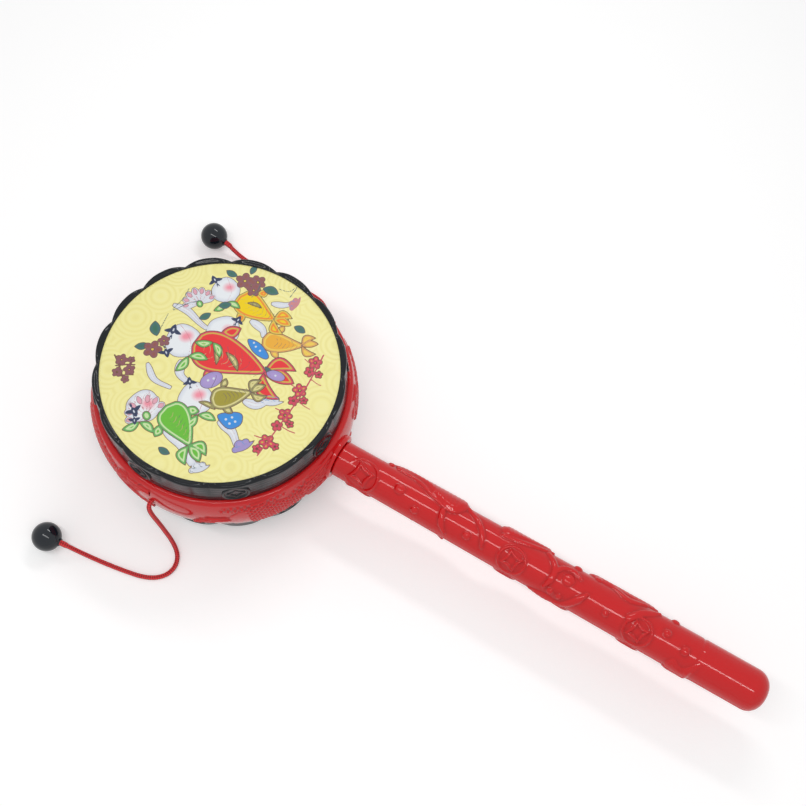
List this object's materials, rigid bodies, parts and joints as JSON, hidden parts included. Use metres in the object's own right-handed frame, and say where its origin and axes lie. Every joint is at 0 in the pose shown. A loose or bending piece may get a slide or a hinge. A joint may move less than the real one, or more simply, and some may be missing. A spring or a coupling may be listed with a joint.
{
  "type": "pellet drum rattle",
  "caption": "Flat round drum on a straight handle, with scalloped rims and a pellet on a cord at each side that swings over to strike the heads.",
  "frame": {"origin": "on the handle's axis, in the middle of the plain cylindrical ring near its free end", "axes": "+Y along the handle from its free end to the drum, +Z along the drum's axis out of the front head, +X to the right seen from the front head with the handle pointing down; the drum lies flat with its back rim down"},
  "size_m": [0.1567, 0.2877, 0.05],
  "materials": {
    "red_plastic": "gloss",
    "black_plastic": "gloss",
    "drumhead": "printed, satin",
    "cord": "braided",
    "pellet": "gloss"
  },
  "bodies": {
    "drum": {"hoop_upper_half": "red_plastic", "hoop_lower_half": "red_plastic", "front_rim": "black_plastic", "back_rim": "black_plastic", "front_head": "drumhead", "back_head": "drumhead", "handle_front_half": "red_plastic", "handle_back_half": "red_plastic", "left_cord_root": "cord", "right_cord_root": "cord"},
    "left_cord": {"left_cord_upper": "cord"},
    "left_striker": {"left_cord_lower": "cord", "left_pellet": "pellet"},
    "right_cord": {"right_cord_upper": "cord"},
    "right_striker": {"right_cord_lower": "cord", "right_pellet": "pellet"}
  },
  "joints": [
    {"name": "left_swing", "type": "hinge", "parent": "drum", "child": "left_cord", "pos_m": [-0.0546, 0.21, -0.0048], "axis": [0.4384, 0.8988, 0], "range_deg": [0, 137]},
    {"name": "left_bend", "type": "hinge", "parent": "left_cord", "child": "left_striker", "pos_m": [-0.061, 0.1974, -0.024], "axis": [-0.2079, -0.9781, 0], "range_deg": [0, 170]},
    {"name": "right_swing", "type": "hinge", "parent": "drum", "child": "right_cord", "pos_m": [0.0546, 0.2102, -0.0048], "axis": [0.4848, -0.8746, 0], "range_deg": [0, 127]},
    {"name": "right_bend", "type": "hinge", "parent": "right_cord", "child": "right_striker", "pos_m": [0.062, 0.2044, -0.024], "axis": [-0.342, 0.9397, 0], "range_deg": [0, 166]}
  ]
}
